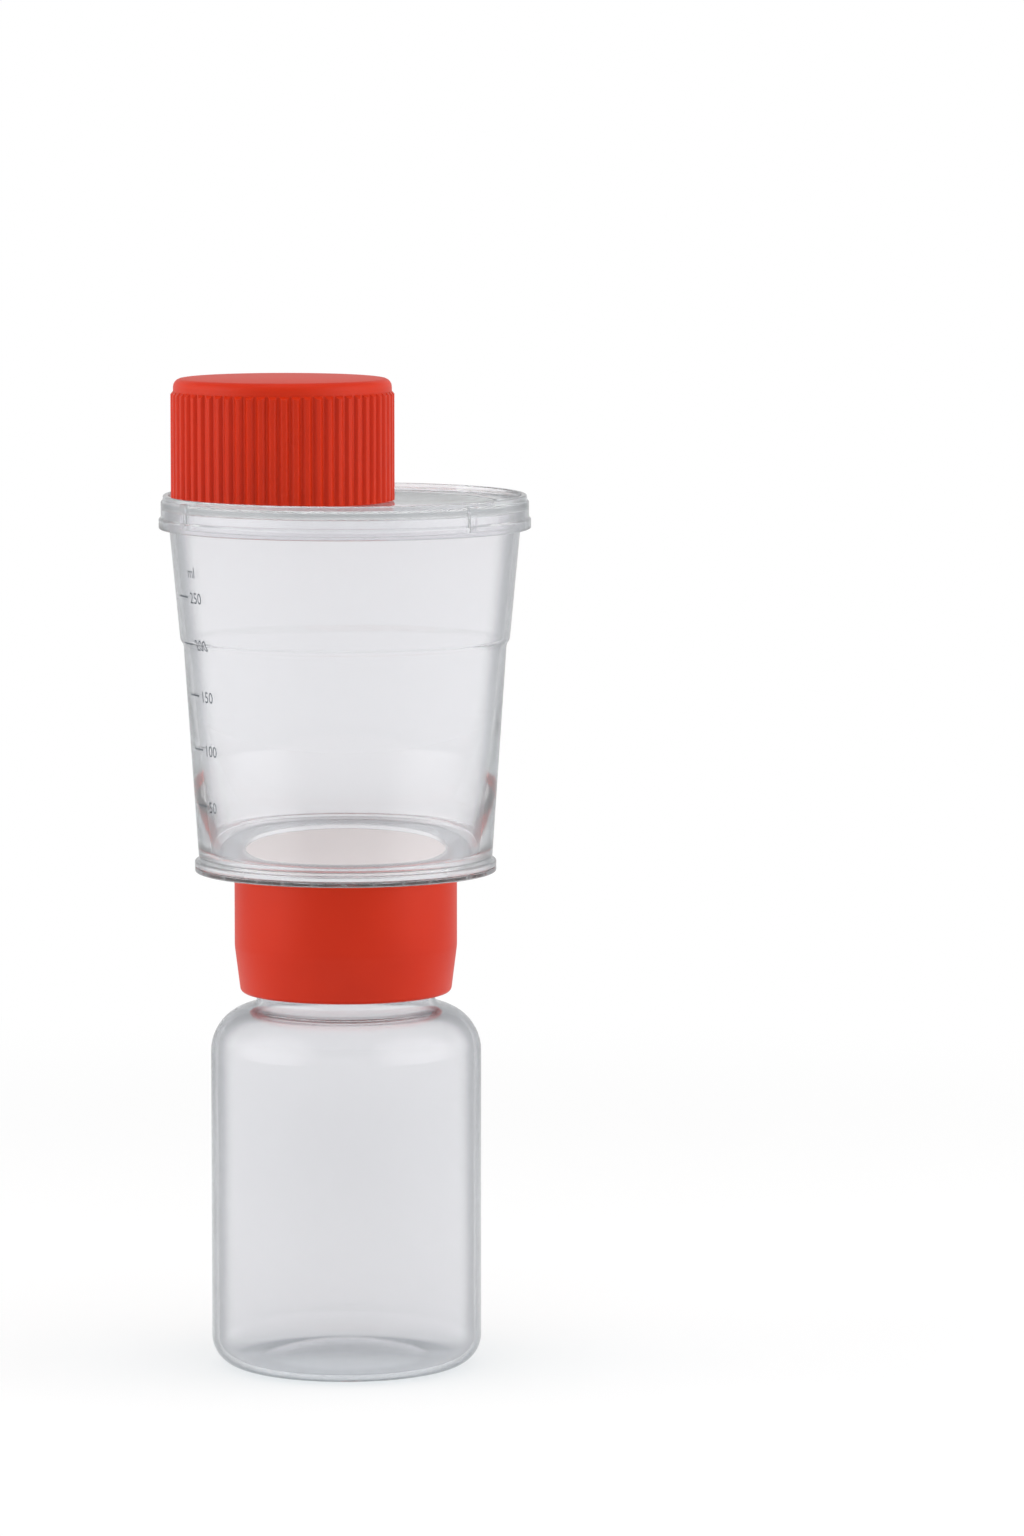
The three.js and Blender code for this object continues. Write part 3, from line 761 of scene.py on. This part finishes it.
def makeBase():
    low, high = boxInMm("filter_base")
    radius, top, spoutEnd = high.x, high.z, low.z
    panRadius = boxInMm("vacuum_adapter")[1].x
    rim = boxInMm("storage_bottle")[1].z
    ledgeTop = rim + adapter["ledgeOverBottle"] + adapter["ledgeThickness"]
    spigotEnd = ledgeTop + adapter["chamber"]
    neck, wall = thread["neckRadius"], base["spigotWall"]
    bore = neck - wall
    flangeZ = top - base["flange"]
    panZ = flangeZ - base["pan"]
    pocket, support = base["membranePocket"], top - base["pocketDepth"]
    dishRim = support - base["dishDepth"]
    spout, dish = base["spoutBore"], base["dishRadius"]
    spoutOuter = spout + base["spoutWall"]
    under = spoutOuter + base["spoutTaper"]

    def dishZ(r):
        return dishRim - base["dishFall"] * (dish - r) / (dish - spout)

    profile = rounded([
        (spout, spoutEnd, plain), (spoutOuter, spoutEnd, plain),
        (under, dishZ(under) - wall, base["spoutRoot"]), (bore, dishZ(bore) - wall, base["spigotRoot"]),
        (bore, spigotEnd, full), (neck, spigotEnd, full), (neck, panZ, plain),
        (panRadius, panZ, plain), (panRadius, flangeZ, base["flangeUnder"]),
        (radius, flangeZ, base["flangeEdge"]), (radius, top, crisp),
        (pocket, top, fine), (pocket, support, fine),
        (dish, support, base["dishEdge"]), (dish, dishRim, crisp), (spout, dishZ(spout), full)])
    piece = turned("filterBase", denser(profile, neck, spigotEnd, panZ))
    startHeight = spigotEnd + thread["spigotStart"]
    threaded(piece, True, base["threadTurns"], startHeight, front, mouldedPolystyrene)
    half, sunk = base["ribWidth"] / 2, base["ribSunk"]
    for start, angle in ((under, 0), (dish / 2, math.pi / base["ribs"])):
        rib = extruded("supportRib", [
            (start, -half, dishZ(start) - sunk), (dish + sunk, -half, dishRim - sunk),
            (dish + sunk, -half, support), (start + sunk, -half, support),
            (start, -half, support - base["ribSlope"])], (0, 1, 0), base["ribWidth"])
        useTree(piece, ribsRoundAxis, {
            "Rib": rib, "Count": base["ribs"], "Start Angle": angle, "Material": mouldedPolystyrene})
        bpy.data.objects.remove(rib)
    dress(piece, mouldedPolystyrene, "filter_unit", "filter_base")


makeBase()
print("base made")


# Membrane.

membrane = {
    "edge": 0.3,                 # its fillets, as a share of its thickness
}


def makeMembrane():
    low, high = boxInMm("membrane")
    edge = (high.z - low.z) * membrane["edge"]
    profile = rounded([
        (0, low.z), (high.x, low.z, edge), (high.x, high.z, edge), (0, high.z)])
    piece = turned("filterMembrane", profile)
    dress(piece, membraneWhite, "filter_unit", "membrane")


makeMembrane()
print("membrane made")


# Stepped funnel.

funnel = {
    "wall": 1.5,
    "floor": 1.3,
    "opening": 24.3,
    "corner": 3.0,
    "footRadius": 34.6,
    "lowerDraft": 3.4,
    "lowerHeight": 51.6,
    "stepWidth": 0.9,
    "stepHeight": 2.9,
    "bead": 0.5,
    "beadHeight": 2.6,
    "beadRise": 0.6,             # the slope under the bead
    "beadRound": 0.35,
    "beadRoundFrom": -60,        # degrees
    "rimOutside": 0.45,
    "rimInside": 0.4,
    "footFillet": [(0.3, 0), (0.1, 0.08), (0.02, 0.3)],   # out from the wall, up from the flange
}


def cupSkin(foot, top, depth):
    # One side of the wall, set in by a depth: lower cup, the ogee step, upper cup.
    low, high = foot
    stepRadius = funnel["footRadius"] + funnel["lowerDraft"]
    stepZ = low + funnel["lowerHeight"]
    width, height = funnel["stepWidth"], funnel["stepHeight"]
    radius = (width ** 2 + height ** 2) / (4 * width)
    sweep = math.degrees(math.asin(height / (2 * radius)))
    return (
        [(funnel["footRadius"] - depth, high)]
        + arc(stepRadius + radius, stepZ, radius + depth, 180, 180 - sweep)
        + arc(stepRadius + width - radius, stepZ + height, radius - depth, -sweep, 0)[1:]
        + [(top[0] - depth, top[1])])


def radiusAt(skin, z):
    for (r0, z0), (r1, z1) in zip(skin, skin[1:]):
        if z0 <= z <= z1 and z1 > z0:
            return r0 + (r1 - r0) * (z - z0) / (z1 - z0)
    return skin[-1][0]


def makeFunnel():
    low, high = boxInMm("funnel")
    flange = boxInMm("filter_base")[1].x
    rimRadius = high.x
    floorZ = low.z + funnel["floor"]
    top = (rimRadius - funnel["bead"], high.z - funnel["beadHeight"])
    outer = cupSkin((low.z, floorZ), top, 0)
    inner = cupSkin((low.z, floorZ), top, funnel["wall"])
    bore = top[0] - funnel["wall"]
    opening, corner = funnel["opening"], funnel["corner"]
    bead, outside, inside = funnel["beadRound"], funnel["rimOutside"], funnel["rimInside"]
    profile = (
        arc(opening + crisp, low.z + crisp, crisp, 180, 270)
        + arc(flange - plain, low.z + plain, plain, -90, 0)
        + arc(flange - plain, floorZ - plain, plain, 0, 90)
        + [(outer[0][0] + out, floorZ + up) for out, up in funnel["footFillet"]]
        + outer[1:]
        + arc(rimRadius - bead, top[1] + funnel["beadRise"], bead, funnel["beadRoundFrom"], 0)
        + arc(rimRadius - outside, high.z - outside, outside, 0, 90)
        + arc(bore + inside, high.z - inside, inside, 90, 180)
        + inner[:0:-1]
        + arc(funnel["footRadius"] - funnel["wall"] - corner, floorZ + corner, corner, 0, -90)
        + arc(opening + plain, floorZ - plain, plain, 90, 180))
    piece = turned("filterFunnel", profile, smoothness["wideFacets"])
    dress(piece, mouldedPolystyrene, "filter_unit", "funnel")
    return outer, inner, floorZ


outerSkin, innerSkin, floorHeight = makeFunnel()
print("funnel made")


# Graduations printed on the funnel, at the heights to which it holds those volumes.

scale = {
    "every": 50,
    "most": 250,
    "azimuth": 196,              # degrees from +X, where the long marks start
    "markLength": 6.0,
    "lineWidth": 0.4,
    "markSteps": 6,
    "numberHeight": 2.6,
    "heightOfSize": 0.7,         # a figure's height as a share of its font size
    "curveSteps": 3,
    "gap": 1.2,
    "unitAbove": 6,
    "proud": 0.04,
    "slice": 0.05,               # mm, layers in which the volume is added up
}


def heightOfVolume(millilitres):
    volume, z = 0.0, floorHeight
    while volume < millilitres * 1000:      # cubic mm
        volume += math.pi * radiusAt(innerSkin, z) ** 2 * scale["slice"]
        z += scale["slice"]
    return z


def onFunnel(along, z):
    # along is in mm round the wall, anticlockwise from the marks' start
    radius = radiusAt(outerSkin, z) + scale["proud"]
    angle = math.radians(scale["azimuth"]) + along / radius
    return Vector((radius * math.cos(angle), radius * math.sin(angle), z)) * mm


def makeScale():
    marks = bmesh.new()
    volumes = range(scale["every"], scale["most"] + 1, scale["every"])
    heights = [heightOfVolume(volume) for volume in volumes]
    steps, half = scale["markSteps"], scale["lineWidth"] / 2
    for z in heights:
        lower, upper = [[
            marks.verts.new(onFunnel(scale["markLength"] * i / steps, z + side))
            for i in range(steps + 1)] for side in (-half, half)]
        for i in range(steps):
            marks.faces.new([lower[i], lower[i + 1], upper[i + 1], upper[i]])
    words = [str(volume) for volume in volumes] + ["ml"]
    for word, z in zip(words, heights + [heights[-1] + scale["unitAbove"]]):
        curve = bpy.data.curves.new("number", "FONT")
        curve.body = word
        curve.size = scale["numberHeight"] / scale["heightOfSize"]
        curve.resolution_u = scale["curveSteps"]
        text = bpy.data.objects.new("number", curve)
        scene.collection.objects.link(text)
        graph = bpy.context.evaluated_depsgraph_get()
        flat = bpy.data.meshes.new_from_object(text.evaluated_get(graph))
        for vertex in flat.vertices:
            vertex.co = onFunnel(
                scale["markLength"] + scale["gap"] + vertex.co.x,
                z - scale["numberHeight"] / 2 + vertex.co.y)
        marks.from_mesh(flat)
        bpy.data.objects.remove(text)
    for face in marks.faces:
        face.normal_update()
        centre = face.calc_center_median()
        if face.normal.dot(Vector((centre.x, centre.y, 0))) < 0:
            face.normal_flip()
    piece = newPiece("funnelScale", marks)
    piece.data.materials.append(ink)
    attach(piece, "filter_unit")


makeScale()
print("graduations printed")


# Lid.

lid = {
    "plate": 1.5,
    "skirtDepth": 4.8,
    "skirtWall": 0.9,
    "rimWidth": 1.2,
    "rimSlope": 0.4,             # how far its inside leans in
    "lip": 0.5,
    "lipHeight": 2.2,
    "ribWidth": 2.6,
    "ribProud": 0.2,
    "ribLift": 1.0,
    "ribClimb": 0.8,
    "ribRound": 0.35,
    "ribRoundSteps": 4,
    "ribAngles": [-58, 44, 173],   # degrees from the front, anticlockwise
}


def roundFront(rib, depth):
    # Rounds the edges of a rib's outer face, which lies this far out.
    solid = bmesh.new()
    solid.from_mesh(rib.data)
    nearly = (0.01 - depth) * mm
    edges = [edge for edge in solid.edges if all(v.co.y < nearly for v in edge.verts)]
    bmesh.ops.bevel(
        solid, geom=edges, offset=lid["ribRound"] * mm, segments=lid["ribRoundSteps"],
        profile=0.5, affect="EDGES")
    solid.to_mesh(rib.data)
    solid.free()


def makeLid():
    low, high = boxInMm("funnel_lid")
    lip = -low.x
    skirt = lip - lid["lip"]
    bore = skirt - lid["skirtWall"]
    skirtZ = low.z
    plateZ = skirtZ + lid["skirtDepth"]
    topZ = plateZ + lid["plate"]
    rimOuter = skirt - lid["lip"]
    rimInner = rimOuter - lid["rimWidth"]
    lipTop = skirtZ + lid["lipHeight"]
    profile = rounded([
        (0, plateZ), (bore, plateZ, plain), (bore, skirtZ, crisp),
        (lip, skirtZ, plain), (lip, lipTop, plain), (skirt, lipTop + lid["lip"], crisp),
        (skirt, topZ, soft), (rimOuter, topZ + lid["lip"], crisp),
        (rimOuter, high.z, soft), (rimInner, high.z, soft),
        (rimInner - lid["rimSlope"], topZ, full), (0, topZ)])
    piece = turned("funnelLid", profile, smoothness["wideFacets"])
    foot, half = skirtZ + lid["ribLift"], lid["ribWidth"] / 2
    depth = lip + lid["ribProud"]
    root = rimOuter - lid["rimWidth"] / 2
    outline = [(-half, -root, foot), (half, -root, foot), (half, -depth, foot), (-half, -depth, foot)]
    for angle in lid["ribAngles"]:
        rib = extruded("lidRib", outline, (0, 0, 1), topZ + lid["ribClimb"] - foot)
        roundFront(rib, depth)
        rib.data.transform(Matrix.Rotation(math.radians(angle), 4, "Z"))
        combine(piece, rib, "UNION")
    dress(piece, mouldedPolystyrene, "lid", "funnel_lid")


makeLid()
print("lid made")


# Bottle cap: grip ribs, inside thread and plug seal.

cap = {
    "wall": 2.8,
    "facetsPerRib": 3,
    "ribs": 60,
    "ribDepth": 0.6,
    "ribRoot": 2.2,
    "ribCrest": 0.9,
    "ribRound": 0.25,
    "ribSunk": 0.4,              # into the cap's wall
    "ribFoot": 0.25,             # above the cap's lower edge
    "ribRunOut": 1.2,            # how far it runs down for each mm that it stands out
    "ribPhase": 0.85,            # in half steps from one rib to the next
    "crown": 3.0,                # plain band above the ribs
    "corner": 2.0,
    "top": 2.0,
    "ceilingRound": 0.6,
    "plugDepth": 4.0,
    "plugWall": 1.0,
    "plugGap": 0.25,
    "threadAboveEdge": 2.0,
    "threadTurns": 1.25,
}


def gripRib(valley, foot, top):
    tip, inner = valley + cap["ribDepth"], valley - cap["ribSunk"]
    root, crest = cap["ribRoot"] / 2, cap["ribCrest"] / 2
    outline = rounded([
        (inner, -root), (valley, -root, fine), (tip, -crest, cap["ribRound"]),
        (tip, crest, cap["ribRound"]), (valley, root, fine), (inner, root)])
    rib = extruded("gripRib", [(x, y, foot) for x, y in outline], (0, 0, 1), top - foot)
    nearly = (top - 0.1) * mm
    for vertex in rib.data.vertices:      # its top slopes down outwards from the band
        if vertex.co.z > nearly:
            vertex.co.z -= max(0.0, vertex.co.x - valley * mm) * cap["ribRunOut"]
    return rib


def makeCap():
    low, high = boxInMm("bottle_cap")
    socket, edge = thread["socketRadius"], low.z
    valley = socket + cap["wall"]
    ceiling = high.z - cap["top"]
    plug = thread["neckRadius"] - bottle["wall"] - cap["plugGap"]
    plugBore = plug - cap["plugWall"]
    plugEnd = ceiling - cap["plugDepth"]
    profile = rounded([
        (0, ceiling), (plugBore, ceiling, soft), (plugBore, plugEnd, plain), (plug, plugEnd, soft),
        (plug, ceiling, soft), (socket, ceiling, cap["ceilingRound"]),
        (socket, edge, soft), (valley, edge, plain),
        (valley, high.z, cap["corner"]), (0, high.z)])
    profile = denser(profile, socket, edge, ceiling)
    piece = turned("bottleCap", profile, cap["ribs"] * cap["facetsPerRib"])
    threaded(piece, False, cap["threadTurns"], edge + cap["threadAboveEdge"], front, orange)
    rib = gripRib(valley, edge + cap["ribFoot"], high.z - cap["crown"])
    useTree(piece, ribsRoundAxis, {
        "Rib": rib, "Count": cap["ribs"], "Start Angle": math.pi * cap["ribPhase"] / cap["ribs"],
        "Material": orange})
    bpy.data.objects.remove(rib)
    piece.data.transform(Matrix.Translation(((low.x + high.x) / 2 * mm, 0, 0)))
    dress(piece, orange, "lid", "bottle_cap")


makeCap()
print("cap made")


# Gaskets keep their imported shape.

for node in ("bottle_gasket", "unit_gasket"):
    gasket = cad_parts[node]
    gasket.data.materials.clear()
    gasket.data.materials.append(silicone)

print("gaskets coated")


# Studio.

studio = {
    "floorColour": "#E6E6E6",
    "floorGlow": 0.22,           # what the eye sees of it beside the paper's own colour
    "glassGlow": 0.12,           # the same, seen through glass or in a reflection
    "paperRadius": 0.24,         # from here the paper blends into a plain white sweep
    "sweepRadius": 0.6,
    "floorRadius": 2.4,
    "floorFacets": 96,
    "floorGap": 0.0002,          # below the bottle, so that the two don't touch
    "skyLight": 0.5,
    "skyTop": 0.5,               # what glass and gloss see overhead
    "skyFade": [0.15, 0.6],      # sines of the angles up between which it fades to that
    "mirrored": 0.65,            # how bright reflections show sky and floor: a room has dark sides
    "sheen": 1.2,                # soft glow at both sides, seen in reflections only
    "sheenFrom": (0.87, -0.35, 0.35),   # where its middle is, on the right
    "sheenEdge": 0.7,            # cosine of the angle at which it has faded out
    "lampAim": (0, 0, 0.13),
    "boxPower": 9.0,
    "boxSize": (1.2, 1.3),
    "boxPlace": (1.15, -0.1, 0.42),
    "topPower": 6.0,
    "topSize": (1.0, 1.0),
    "topPlace": (0, -0.2, 1.5),
}


def dimmedInReflections(tree):
    # 1 for the eye and through glass, less in the reflection of a surface
    return addNode(tree, "ShaderNodeMapRange", None, {
        "Value": rayMask(tree, ["Is Reflection Ray"]),
        "To Min": 1.0, "To Max": studio["mirrored"]}).outputs[0]


def makeFloor():
    material, tree = newMaterial("paleFloor")
    seen = rayMask(tree, ["Is Camera Ray"])
    through = rayMask(tree, ["Is Glossy Ray", "Is Transmission Ray"])
    glowThrough = addNode(tree, "ShaderNodeMath", {"operation": "MULTIPLY"}, {
        0: through, 1: studio["glassGlow"]}).outputs[0]
    glowStrength = addNode(tree, "ShaderNodeMath", {"operation": "MULTIPLY_ADD"}, {
        0: seen, 1: studio["floorGlow"], 2: glowThrough}).outputs[0]
    paper = addNode(tree, "ShaderNodeBsdfDiffuse", None, {"Color": linear(studio["floorColour"])})
    glow = addNode(tree, "ShaderNodeEmission", None, {"Strength": glowStrength})
    near = addNode(tree, "ShaderNodeAddShader", None, {0: paper.outputs[0], 1: glow.outputs[0]})
    far = addNode(tree, "ShaderNodeEmission", None, {"Strength": dimmedInReflections(tree)})
    place = addNode(tree, "ShaderNodeTexCoord").outputs["Object"]
    distance = addNode(tree, "ShaderNodeVectorMath", {"operation": "LENGTH"}, {0: place})
    away = addNode(tree, "ShaderNodeMapRange", smoothStep, {
        "Value": distance.outputs["Value"],
        "From Min": studio["paperRadius"], "From Max": studio["sweepRadius"]})
    seenAway = addNode(tree, "ShaderNodeMath", {"operation": "MULTIPLY"}, {
        0: away.outputs[0], 1: rayMask(tree, ["Is Camera Ray", "Is Glossy Ray", "Is Transmission Ray"])})
    both = addNode(tree, "ShaderNodeMixShader", None, {
        0: seenAway.outputs[0], 1: near.outputs[0], 2: far.outputs[0]})
    addNode(tree, "ShaderNodeOutputMaterial", None, {"Surface": both.outputs[0]})
    disc = bmesh.new()
    bmesh.ops.create_circle(
        disc, cap_ends=True, segments=studio["floorFacets"], radius=studio["floorRadius"])
    floor = finished("paleFloor", disc)
    floor.data.transform(Matrix.Translation((0, 0, cadBox[0][2] - studio["floorGap"])))
    floor.data.materials.append(material)


def makeSky():
    # White wherever the camera looks; glass and gloss see it white at the horizon, grey overhead.
    world = bpy.data.worlds.new("studioSky")
    scene.world = world
    world.use_nodes = True
    tree = world.node_tree
    tree.nodes.clear()
    direction = addNode(tree, "ShaderNodeTexCoord").outputs["Generated"]
    towards = addNode(tree, "ShaderNodeSeparateXYZ", None, {0: direction}).outputs
    sky = addNode(tree, "ShaderNodeMapRange", smoothStep, {
        "Value": towards[2], "From Min": studio["skyFade"][0], "From Max": studio["skyFade"][1],
        "To Min": 1.0, "To Max": studio["skyTop"]})
    # The glow at both sides stands for the soft boxes, without their hard edges.
    sideways = addNode(tree, "ShaderNodeMath", {"operation": "ABSOLUTE"}, {0: towards[0]})
    oneSide = addNode(tree, "ShaderNodeCombineXYZ", None, {
        0: sideways.outputs[0], 1: towards[1], 2: towards[2]})
    near = addNode(tree, "ShaderNodeVectorMath", {"operation": "DOT_PRODUCT"}, {
        0: oneSide.outputs[0], 1: studio["sheenFrom"]})
    glow = addNode(tree, "ShaderNodeMapRange", smoothStep, {
        "Value": near.outputs["Value"], "From Min": studio["sheenEdge"], "From Max": 1.0,
        "To Min": 0.0, "To Max": studio["sheen"]})
    mirroredGlow = addNode(tree, "ShaderNodeMath", {"operation": "MULTIPLY"}, {
        0: glow.outputs[0], 1: rayMask(tree, ["Is Reflection Ray"])})
    strength = addNode(tree, "ShaderNodeMath", {"operation": "MULTIPLY_ADD"}, {
        0: sky.outputs[0], 1: dimmedInReflections(tree), 2: mirroredGlow.outputs[0]})
    light, reflected, white = [
        addNode(tree, "ShaderNodeBackground", None, {"Color": (1, 1, 1, 1), "Strength": level}).outputs[0]
        for level in (studio["skyLight"], strength.outputs[0], 1.0)]
    mirrored = addNode(tree, "ShaderNodeMixShader", None, {
        0: rayMask(tree, ["Is Glossy Ray", "Is Transmission Ray"]), 1: light, 2: reflected})
    seen = addNode(tree, "ShaderNodeMixShader", None, {
        0: rayMask(tree, ["Is Camera Ray"]), 1: mirrored.outputs[0], 2: white})
    addNode(tree, "ShaderNodeOutputWorld", None, {"Surface": seen.outputs[0]})


def makeLamps():
    lamps = [("leftSoftBox", "box", -1), ("rightSoftBox", "box", 1), ("topSoftBox", "top", 1)]
    for name, kind, side in lamps:
        lamp = bpy.data.lights.new(name, "AREA")
        lamp.shape = "RECTANGLE"
        lamp.size, lamp.size_y = studio[kind + "Size"]
        lamp.energy = studio[kind + "Power"]
        holder = bpy.data.objects.new(name, lamp)
        x, y, z = studio[kind + "Place"]
        holder.location = (side * x, y, z)
        aim = Vector(studio["lampAim"]) - holder.location
        holder.rotation_euler = aim.to_track_quat("-Z", "Y").to_euler()
        holder.visible_transmission = False
        holder.visible_glossy = False
        scene.collection.objects.link(holder)


makeFloor()
makeSky()
makeLamps()


# Camera.

view = {
    "lens": 173.0,
    "sensor": 36,
    "place": (0.0393, -1.7328, 0.3246),
    "down": 6.01,                # degrees
    "clip": (0.1, 20),
}


def makeCamera():
    camera = bpy.data.cameras.new("studioCamera")
    camera.lens = view["lens"]
    camera.sensor_width = view["sensor"]
    camera.clip_start, camera.clip_end = view["clip"]
    holder = bpy.data.objects.new("studioCamera", camera)
    holder.location = view["place"]
    holder.rotation_euler = Euler((math.radians(90 - view["down"]), 0, 0))
    scene.collection.objects.link(holder)
    scene.camera = holder


makeCamera()
scene.view_settings.view_transform = "Standard"
print("studio ready")
